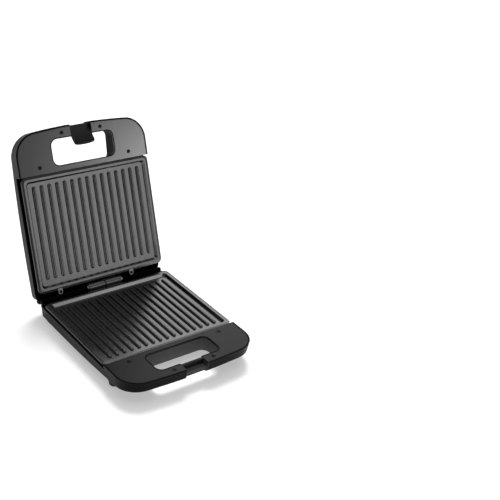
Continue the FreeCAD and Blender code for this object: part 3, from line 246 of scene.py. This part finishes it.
def matt_face(name, sheen):
    """A handle's flat face: dark grey, evenly eroded and matt."""
    s = Shader(name)
    cloud = s.noise(14, 3)
    grain = s.noise(1900, 2)
    return s.finish(
        Base_Color=s.blend(cloud, grey(0.007), grey(0.010)),
        Roughness=s.spread(grain, 0.32, 0.44, 0.3, 0.7),
        Normal=s.bumps(grain, 0.02 * MM, s.rounded(0.35 * MM)),
        Specular_IOR_Level=sheen,
    )


def nonstick():
    """Grey non-stick coating over cast aluminium: satin, with the coating's fine stipple.

    The outer face of a plate's skirt, where the shells leave it open, is painted near black: painted shade of the
    narrow gap between the shells."""
    s = Shader("nonstick")
    stipple = s.noise(1500, 3)
    cloud = s.noise(24, 3)
    across = s.test("ABSOLUTE", s.along((1, 0, 0), s.place), 0.0)
    sideways = s.test("ABSOLUTE", s.facing((1, 0, 0)), 0.0)
    skirt_painted_shade = s.test("GREATER_THAN", across, PLATE_SKIRT) * s.test("GREATER_THAN", sideways, 0.7)
    return s.finish(
        # painted shade: the skirt's outer face, in the gap between the shells, is near black
        Base_Color=s.blend(skirt_painted_shade, s.blend(cloud, grey(0.115), grey(0.14)), grey(0.022)),
        Metallic=1.0,
        Roughness=s.spread(stipple * 0.7 + cloud * 0.3, 0.19, 0.26, 0.35, 0.65),
        Normal=s.bumps(stipple, 0.012 * MM, s.rounded(0.4 * MM)),
    )


def brushed_strip():
    """Bright metal brushed along its length."""
    s = Shader("brushed_strip")
    lie = (LID_OPEN, 0, 0)
    lines = s.noise(1, 4, s.mapped((5200, 22, 22), lie), 0.7)
    wide = s.noise(1, 2, s.mapped((420, 5, 5), lie))
    return s.finish(
        Base_Color=s.blend(lines * 0.6 + wide * 0.4, grey(0.38), grey(0.54)),
        Metallic=1.0,
        Roughness=s.spread(lines, 0.24, 0.42, 0.3, 0.7),
        Normal=s.bumps(lines, 0.012 * MM),
    )


def gloss_black(name, level=0.014, coat_roughness=0.08):
    """Polished black enamel."""
    s = Shader(name)
    peel = s.noise(420, 1)
    return s.finish(
        Base_Color=s.blend(peel, grey(0.6 * level), grey(level)),
        Roughness=s.spread(peel, 0.16, 0.26, 0.3, 0.7),
        Normal=s.bumps(peel, 0.01 * MM, s.rounded(0.3 * MM)),
        Coat_Weight=0.5,
        Coat_Roughness=coat_roughness,
    )


def moulded_black(name, sheen, polish):
    """Black nylon as it leaves the mould; polish is the share of a thin wet-looking skin."""
    s = Shader(name)
    grain = s.noise(1800, 2)
    return s.finish(
        Base_Color=s.blend(grain, grey(0.003), grey(0.006)),
        Roughness=s.spread(grain, 0.34, 0.46, 0.3, 0.7),
        Normal=s.bumps(grain, 0.02 * MM, s.rounded(0.6 * MM)),
        Specular_IOR_Level=sheen,
        Coat_Weight=polish,
        Coat_Roughness=0.24,
    )


def steel(name, level, roughness):
    """Drawn or plated steel, a little uneven."""
    s = Shader(name)
    draw = s.noise(1, 3, s.mapped((300, 2400, 2400)))
    return s.finish(
        Base_Color=s.blend(draw, grey(level * 0.85), grey(level * 1.1)),
        Metallic=1.0,
        Roughness=s.spread(draw, roughness * 0.8, roughness * 1.25, 0.3, 0.7),
        Normal=s.bumps(draw, 0.008 * MM),
    )


def rubber(name):
    s = Shader(name)
    grain = s.noise(1300, 3)
    return s.finish(
        Base_Color=s.blend(grain, grey(0.010), grey(0.016)),
        Roughness=s.spread(grain, 0.62, 0.78, 0.3, 0.7),
        Normal=s.bumps(grain, 0.04 * MM, s.rounded(0.5 * MM)),
    )


def pale_moulding(name, color, roughness):
    """Ceramic or natural nylon inside the housing."""
    s = Shader(name)
    mottle = s.noise(260, 3)
    dark = tuple(0.85 * channel for channel in color[:3]) + (1,)
    return s.finish(
        Base_Color=s.blend(mottle, dark, color),
        Roughness=s.spread(mottle, roughness * 0.85, roughness * 1.1, 0.3, 0.7),
        Normal=s.bumps(mottle, 0.02 * MM),
    )


def lamp_lens(name, color):
    """A signal lamp's tinted lens, ribbed on the inside and clear on top."""
    s = Shader(name)
    ribs = s.add("TexWave", {"bands_direction": "X", "wave_profile": "SIN"},
                 {"Vector": s.mapped((1, 1, 1), (LID_OPEN, 0, 0)), "Scale": 190.0}).out("Fac")
    deep = tuple(0.55 * channel for channel in color[:3]) + (1,)
    tint = s.blend(ribs, deep, color)
    return s.finish(
        Base_Color=tint,
        Roughness=s.spread(ribs, 0.22, 0.34),
        # painted light: a faint glow in the lens's tint keeps the unlit lamp saturated in shade
        Emission_Color=tint,
        Emission_Strength=0.25,
        Coat_Weight=0.3,
        Coat_Roughness=0.08,
        Specular_IOR_Level=0.3,
        Normal=s.bumps(ribs, 0.03 * MM),
    )


FINISHES = {
    "nonstick": nonstick(),
    "heater_steel": steel("heater_steel", 0.30, 0.45),
    "sheet_aluminium": steel("sheet_aluminium", 0.75, 0.35),
    "foot_rubber": rubber("foot_rubber"),
    "bushing_rubber": rubber("bushing_rubber"),
    "hinge_metal": gloss_black("hinge_enamel", 0.05, 0.3),
    "pin_steel": steel("pin_steel", 0.55, 0.28),
    "thermostat_steel": steel("thermostat_steel", 0.6, 0.35),
    "ceramic_white": pale_moulding("ceramic_white", (0.78, 0.74, 0.68, 1), 0.5),
    "holder_plastic": pale_moulding("holder_plastic", (0.62, 0.60, 0.55, 1), 0.4),
    "brushed_strip": brushed_strip(),
    "bezel_plastic": gloss_black("bezel_plastic"),
    "lens_green": lamp_lens("lens_green", (0.005, 0.33, 0.22, 1)),
    "lens_red": lamp_lens("lens_red", (0.46, 0.08, 0.07, 1)),
    "latch_plastic": moulded_black("latch_black", 0.12, 0.12),
}

BODY_FINISHES = {
    "lid_shell": satin_housing("lid_housing", OPENING, -1, 0.003),
    # the base's slot and notch walls get 0.11, a painted light grey
    "base_shell": satin_housing("base_housing", BASE_PLACE, 1, 0.11),
    "lid_handle_cover": matt_face("lid_handle_face", 0.27),
    "base_handle_cover": matt_face("base_handle_face", 0.2),
}

slots = {part["node"]: part["material_slot"] for part in frame["record"]["subparts"]}
for name, node in frame["nodes"].items():
    for slot in node.material_slots:
        slot.material = BODY_FINISHES.get(name) or FINISHES[slots[name]]


# ---------------------------------------------------------------- making pieces

def placed(name, data):
    """A new object in the scene, at the origin."""
    thing = bpy.data.objects.new(name, data)
    bpy.context.collection.objects.link(thing)
    return thing


def plain_mesh(thing, name):
    """The evaluated object as a plain mesh object at the origin."""
    bpy.context.view_layer.update()
    evaluated = thing.evaluated_get(bpy.context.evaluated_depsgraph_get())
    mesh = bpy.data.meshes.new_from_object(evaluated)
    mesh.name = name
    piece = placed(name, mesh)
    bpy.data.objects.remove(thing)
    return piece


def on_body(piece, body):
    """The body that a piece rides on."""
    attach(piece, body)


def geometry_tree(name, sizes):
    """A Geometry Nodes tree with inputs Places, the sizes and Finish, and its two ends."""
    group = bpy.data.node_groups.new(name, "GeometryNodeTree")
    group.interface.new_socket("Places", in_out="INPUT", socket_type="NodeSocketGeometry")
    for size, value in sizes.items():
        group.interface.new_socket(size, in_out="INPUT",
                                   socket_type="NodeSocketFloat").default_value = value
    group.interface.new_socket("Finish", in_out="INPUT", socket_type="NodeSocketMaterial")
    group.interface.new_socket("Pieces", in_out="OUTPUT", socket_type="NodeSocketGeometry")
    g = Nodes(group, "Geometry")
    return g, Node(g, group.nodes.new("NodeGroupInput"))


def end_tree(g, entry, instances):
    """Turns the instances into one mesh with its finish, and returns the tree."""
    real = g.add("RealizeInstances", None, {"Geometry": instances}).out()
    coated = g.add("SetMaterial", None,
                   {"Geometry": real, "Material": entry.out("Finish")}).out()
    exit_node = g.tree.nodes.new("NodeGroupOutput")
    g.tree.links.new(coated.output, exit_node.inputs["Pieces"])
    return g.tree


def grown(name, places, tree, finish):
    """The plain mesh that a tree makes on the vertices of places."""
    holder = placed(f"{name}_holder", places)
    modifier = holder.modifiers.new(name, "NODES")
    modifier.node_group = tree
    for item in tree.interface.items_tree:
        if item.name == "Finish":
            modifier[item.identifier] = finish
    return plain_mesh(holder, name)


# ---------------------------------------------------------------- latch and notch strip

def arc(across, up, radius, start, end, steps=6):
    """Points of an arc, its angles in degrees from the first axis."""
    angles = [math.radians(start + (end - start) * n / steps) for n in range(steps + 1)]
    return [(across + radius * math.cos(a), up + radius * math.sin(a)) for a in angles]


SMOOTH = 40     # degrees: edges sharper than this stay sharp


def swept(name, sections, material, smooth_angle):
    """A closed mesh over sections, which are rings of equally many points in metres."""
    shape = bmesh.new()
    rings = [[shape.verts.new(point) for point in section] for section in sections]
    for ring, following in zip(rings, rings[1:]):
        for n in range(len(ring)):
            m = (n + 1) % len(ring)
            shape.faces.new((ring[n], ring[m], following[m], following[n]))
    shape.faces.new(rings[0][::-1])
    shape.faces.new(rings[-1])
    bmesh.ops.recalc_face_normals(shape, faces=shape.faces)
    mesh = bpy.data.meshes.new(name)
    shape.to_mesh(mesh)
    shape.free()
    for face in mesh.polygons:
        face.use_smooth = True
    mesh.set_sharp_from_angle(angle=math.radians(smooth_angle))
    mesh.materials.append(material)
    return placed(name, mesh)


def folding_latch():
    """The latch: a plate folded back to its knuckle, with a rolled, bowed hook at its end.

    Its section is drawn from the pivot, in millimetres: y away from the plate's outer face
    and z up towards the knuckle."""
    half, outer, inner = 18.2, -8.6, -5.1
    knuckle, bore, hem = 4.6, 1.55, 2.6
    hook_top, hook_low, bend, corner = -30.0, -33.2, 2.4, 3.0
    tip_back, tip_bow, bow_radius = 2.9, 7.1, 19.6
    slices = 48
    sections = []
    for n in range(slices + 1):
        x = half * math.sin(math.pi * (n / slices - 0.5))
        bow = math.sqrt(1 - (x / bow_radius) ** 2)
        corner_part = max(0.0, abs(x) - (half - corner)) / corner
        rise = corner * (1 - math.sqrt(1 - corner_part ** 2)) * 0.96
        tip = inner - tip_back + tip_bow * bow
        middle = (hook_top + hook_low + rise) / 2
        nose = (hook_top - hook_low - rise) / 2
        ring = arc(outer + hem, 0.6, hem, 100, 180, 5)
        ring += arc(outer + bend, hook_low + rise + bend, bend, 180, 270)
        ring += arc(tip - nose, middle, nose, -90, 90)
        ring += [(inner + 0.3, hook_top + 0.1), (inner, hook_top + 0.8)]
        ring += arc(inner + 1.6, -9.2, 1.6, 180, 135, 3)
        ring += arc(0, 0, knuckle, -115, 100, 18)
        sections.append([(x, y, z) for y, z in ring])
    place = (Matrix.Translation(LATCH_PIVOT) @ Matrix.Rotation(LATCH_FOLDED - LID_OPEN, 4, "X")
             @ Matrix.Scale(MM, 4))
    sections = [[place @ Vector(point) for point in section] for section in sections]
    blank = swept("latch_blank", sections, FINISHES["latch_plastic"], SMOOTH)
    reach = 1.2 * half
    drill = swept("pin_drill", [
        [place @ Vector((side * reach, y, z)) for y, z in arc(0, 0, bore, 0, 345, 23)]
        for side in (-1, 1)], FINISHES["latch_plastic"], SMOOTH)
    hole = blank.modifiers.new("pin_hole", "BOOLEAN")
    hole.operation = "DIFFERENCE"
    hole.object = drill
    latch = plain_mesh(blank, "folding_latch")
    bpy.data.objects.remove(drill)
    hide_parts("latch")
    on_body(latch, "latch")


def notch_strip():
    """The strip of the base's handle between the latch notch and the finger slot."""
    half, slot_side, notch_side = 19.08, 248.1, 253.3
    slot_round, notch_round, foot_round = 1.6, 0.9, 1.0
    top = (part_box("base_handle_cover")[1][2] - HINGE.z) / MM
    floor = -7.48
    ring = [(slot_side, floor)]
    ring += arc(slot_side + slot_round, top - slot_round, slot_round, 180, 90)
    ring += arc(notch_side - notch_round, top - notch_round, notch_round, 90, 0)
    ring += arc(notch_side + foot_round, floor + foot_round, foot_round, 180, 270)
    sections = [[BASE_PLACE @ (Vector((x, -ahead, up)) * MM) for ahead, up in ring]
                for x in (-half, 0.0, half)]
    strip = swept("base_notch_strip", sections, BODY_FINISHES["base_handle_cover"], SMOOTH)
    on_body(strip, "base")


# ---------------------------------------------------------------- rims of the finger slots

def slot_rim_tree():
    """A flat rim with rounded shoulders round a finger slot, open where the latch passes."""
    g, entry = geometry_tree("finger_slot_rim", {
        "Slot Width": 0.112, "Slot Length": 0.0415, "Corner Radius": 0.011,
        "Rim Width": 0.0016, "Rim Height": 0.0003, "Latch Gap": 0.0386})
    outline = g.add("CurvePrimitiveQuadrilateral", None, {
        "Width": entry.out("Slot Width") + entry.out("Rim Width"),
        "Height": entry.out("Slot Length") + entry.out("Rim Width")}).out()
    rounded = g.add("FilletCurve", {"mode": "POLY"}, {
        "Curve": outline, "Count": 10, "Radius": entry.out("Corner Radius")}).out()
    section = g.add("CurvePrimitiveQuadrilateral", None, {
        "Width": entry.out("Rim Width"), "Height": entry.out("Rim Height")}).out()
    shoulders = g.add("FilletCurve", {"mode": "POLY"}, {
        "Curve": section, "Count": 4, "Radius": entry.out("Rim Height") * 0.45}).out()
    rim = g.add("CurveToMesh", None, {"Curve": rounded, "Profile Curve": shoulders}).out()
    block = g.add("MeshCube", None, {"Size": g.add("CombineXYZ", None, {
        0: entry.out("Latch Gap"), 1: entry.out("Slot Length"), 2: entry.out("Slot Length"),
    }).out()}).out()
    ahead = g.add("CombineXYZ", None, {1: entry.out("Slot Length") * -0.6}).out()
    gap = g.add("Transform", None, {"Geometry": block, "Translation": ahead}).out()
    open_rim = g.add("MeshBoolean", {"operation": "DIFFERENCE"},
                     {"Mesh 1": rim, "Mesh 2": [gap]}).out()
    return end_tree(g, entry, g.add("InstanceOnPoints", None, {
        "Points": entry.out("Places"), "Instance": open_rim}).out())


def slot_rims():
    """The dark rim of each handle's finger slot, just proud of the handle's face."""
    tree = slot_rim_tree()
    rim_black = moulded_black("rim_black", 0.02, 0.0)
    slot_middle = 226.25
    for body, level in (("lid", 0.2), ("base", -0.2)):
        mesh = bpy.data.meshes.new(f"{body}_rim_place")
        mesh.from_pydata([(0, 0, 0)], [], [])
        rim = grown(f"{body}_slot_rim", mesh, tree, rim_black)
        rim.data.transform(
            PLACES[body] @ Matrix.Translation(Vector((0, -slot_middle, level)) * MM))
        on_body(rim, body)


# ---------------------------------------------------------------- cross-head screws

def screw_tree():
    """A domed cross-head screw on every vertex, along its `axis`, `head_radius` wide."""
    g, entry = geometry_tree("cross_head_screws", {
        "Head Height": 0.55, "Slot Width": 0.24, "Slot Length": 1.15, "Slot Depth": 0.34})

    # A flattened ball: a low dome over a flat seat, one unit in radius.
    ball = g.add("MeshUVSphere", None, {"Segments": 24, "Rings": 14, "Radius": 1.0}).out()
    axes = g.add("SeparateXYZ", None, {0: g.add("InputPosition").out()})
    x, y, z = (axes.out(n) for n in range(3))
    inside = g.add("Math", {"operation": "MAXIMUM"}, {0: 1.0 - (x * x + y * y) ** 2.2, 1: 0.0})
    upper = g.add("Math", {"operation": "GREATER_THAN"}, {0: z, 1: 0.001}).out()
    height = inside.out() ** 0.5 * upper * entry.out("Head Height")
    dome = g.add("SetPosition", None, {
        "Geometry": ball,
        "Position": g.add("CombineXYZ", None, {0: x, 1: y, 2: height}).out(),
    }).out()
    lift = g.add("CombineXYZ", None, {2: entry.out("Head Height")}).out()
    length, width = entry.out("Slot Length"), entry.out("Slot Width")
    blades = []
    for across, along in ((length, width), (width, length)):
        blade = g.add("MeshCube", None, {"Size": g.add("CombineXYZ", None, {
            0: across, 1: along, 2: entry.out("Slot Depth") * 2.0}).out()}).out()
        blades.append(g.add("Transform", None, {"Geometry": blade, "Translation": lift}).out())
    head = g.add("MeshBoolean", {"operation": "DIFFERENCE"},
                 {"Mesh 1": dome, "Mesh 2": blades}).out()

    axis = g.add("InputNamedAttribute", {"data_type": "FLOAT_VECTOR"}, {"Name": "axis"}).out()
    radius = g.add("InputNamedAttribute", {"data_type": "FLOAT"}, {"Name": "head_radius"}).out()
    spin = g.add("RandomValue", {"data_type": "FLOAT"},
                 {"Min": 0.0, "Max": 1.6, "Seed": 7}, family="Function").out("Value")
    upright = g.add("AlignRotationToVector", {"axis": "Z"}, {"Vector": axis},
                    family="Function").out()
    own_turn = g.add("AxisAngleToRotation", None, {"Axis": (0, 0, 1), "Angle": spin},
                     family="Function").out()
    turned = g.add("RotateRotation", {"rotation_space": "LOCAL"},
                   {"Rotation": upright, "Rotate By": own_turn}, family="Function").out()
    points = g.add("MeshToPoints", None, {"Mesh": entry.out("Places")}).out()
    return end_tree(g, entry, g.add("InstanceOnPoints", None, {
        "Points": points, "Instance": head, "Rotation": turned,
        "Scale": g.add("CombineXYZ", None, {0: radius, 1: radius, 2: radius}).out(),
    }).out())


def screws(name, tree, metal, body, outward, head_radius, seats):
    """One mesh of equal screws for a body, on seats given from the hinge."""
    mesh = bpy.data.meshes.new(f"{name}_places")
    mesh.from_pydata([PLACES[body] @ (Vector((x, -ahead, up)) * MM) for x, ahead, up in seats],
                     [], [])
    mesh.attributes.new("axis", "FLOAT_VECTOR", "POINT")
    mesh.attributes.new("head_radius", "FLOAT", "POINT")
    axis = PLACES[body].to_3x3() @ Vector(outward)
    mesh.attributes["axis"].data.foreach_set("vector", list(axis) * len(seats))
    mesh.attributes["head_radius"].data.foreach_set("value", [head_radius * MM] * len(seats))
    on_body(grown(name, mesh, tree, metal), body)


def all_screws():
    """The screws of both handles, and those that hold the plates by their rear ears."""
    handle_seats = [(sign * across, ahead) for across, ahead in ((81.3, 206.8), (35.0, 255.6))
                    for sign in (-1, 1)]
    cover_seat, handle_head, ear_head = 1.55, 2.75, 2.5
    ear_places, ear_ahead = (54.0, -79.0), 5.7
    ear_seats = {"lid": 0.8, "base": -9.0}
    blackened = steel("blackened_screw", 0.03, 0.38)
    tree = screw_tree()
    for body, side in (("lid", 1), ("base", -1)):
        outward = (0, 0, -side)
        screws(f"{body}_handle_screws", tree, blackened, body, outward, handle_head,
               [(across, ahead, side * cover_seat) for across, ahead in handle_seats])
        screws(f"{body}_plate_screws", tree, blackened, body, outward, ear_head,
               [(side * across, ear_ahead, ear_seats[body]) for across in ear_places])


folding_latch()
notch_strip()
slot_rims()
all_screws()


# ---------------------------------------------------------------- studio

def area_light(name, place, aim, width, height, power, only=None):
    data = bpy.data.lights.new(name, "AREA")
    data.shape = "RECTANGLE"
    data.size = width
    data.size_y = height
    data.energy = power
    light = placed(name, data)
    light.location = place
    light.rotation_euler = (Vector(aim) - Vector(place)).to_track_quat("-Z", "Y").to_euler()
    light.visible_camera = False
    light.light_linking.receiver_collection = only


def sun(name, towards, angle, energy, only=None):
    data = bpy.data.lights.new(name, "SUN")
    data.energy = energy
    data.angle = math.radians(angle)
    light = placed(name, data)
    light.rotation_euler = (-Vector(towards)).to_track_quat("-Z", "Y").to_euler()
    light.light_linking.receiver_collection = only


def receivers(name, things):
    """The only things that a light falls on."""
    group = bpy.data.collections.new(name)
    for thing in things:
        group.objects.link(thing)
    return group


def studio():
    """A white table in a white ring, under two suns and four softboxes."""
    reach, ring_radius, ring_low, ring_high, ring_sides = 9.0, 8.9, -0.5, 7.0, 48
    floor_mesh = bpy.data.meshes.new("floor")
    floor_mesh.from_pydata(
        [(-reach, -reach, 0), (reach, -reach, 0), (reach, reach, 0), (-reach, reach, 0)],
        [], [(0, 1, 2, 3)])
    floor = placed("floor", floor_mesh)
    s = Shader("pale_floor")
    floor_mesh.materials.append(s.finish(Base_Color=grey(0.6), Roughness=0.9,
                                         Specular_IOR_Level=0.1,
                                         Emission_Color=grey(1.0), Emission_Strength=0.42))

    around = [2 * math.pi * n / ring_sides for n in range(ring_sides)]
    ring = bmesh.new()
    low, high = ([ring.verts.new((ring_radius * math.cos(a), ring_radius * math.sin(a), z))
                  for a in around] for z in (ring_low, ring_high))
    for n in range(ring_sides):
        ring.faces.new((low[n - 1], low[n], high[n], high[n - 1]))
    backdrop_mesh = bpy.data.meshes.new("backdrop")
    ring.to_mesh(backdrop_mesh)
    ring.free()
    backdrop = placed("backdrop", backdrop_mesh)
    for ray in ("diffuse", "glossy", "transmission", "shadow"):
        setattr(backdrop, f"visible_{ray}", False)
    s = Shader("pale_backdrop")
    backdrop_mesh.materials.append(s.finish(Base_Color=grey(0.0), Roughness=1.0,
                                            Emission_Color=grey(1.0), Emission_Strength=1.0))

    world = bpy.data.worlds.new("studio")
    world.use_nodes = True
    background = world.node_tree.nodes["Background"]
    background.inputs["Color"].default_value = grey(1.0)
    background.inputs["Strength"].default_value = 0.15
    bpy.context.scene.world = world

    sun("high_back_right", (0.30, 0.50, 0.81), 26, 3.8, receivers("table", [floor]))
    sun("overhead", (0.1, 0.15, 1.0), 60, 0.9)
    area_light("back_right", (1.15, 1.25, 1.1), (0, 0, 0.05), 1.2, 1.0, 7.0)
    area_light("front", (1.05, -1.75, 0.62), (0, 0.1, 0.2), 0.9, 0.8, 3.3)
    area_light("near_right", (0.56, -0.48, 0.34), (0.1, 0.16, 0.25), 0.25, 0.18, 7.5,
               receivers("lid_handle", [frame["nodes"]["lid_handle_cover"]]))
    area_light("middle_right", (0.69, -1.08, 0.71), (0, 0.06, 0.035), 0.6, 0.45, 1.3,
               receivers("hinge_side", [frame["nodes"][name] for name in (
                   "lower_plate", "base_hinge_half", "lid_hinge_half", "hinge_pin")]))


def camera():
    data = bpy.data.cameras.new("camera")
    data.sensor_width = 36
    data.lens = 69.01
    data.shift_x = 0.0534
    data.shift_y = -0.0928
    data.clip_start = 0.05
    view = placed("camera", data)
    view.location = (-0.7267, -1.0893, 0.8512)
    view.rotation_euler = (math.radians(64.4), math.radians(-5.31), math.radians(-37.03))
    bpy.context.scene.camera = view


studio()
camera()
bpy.context.scene.view_settings.view_transform = "Standard"
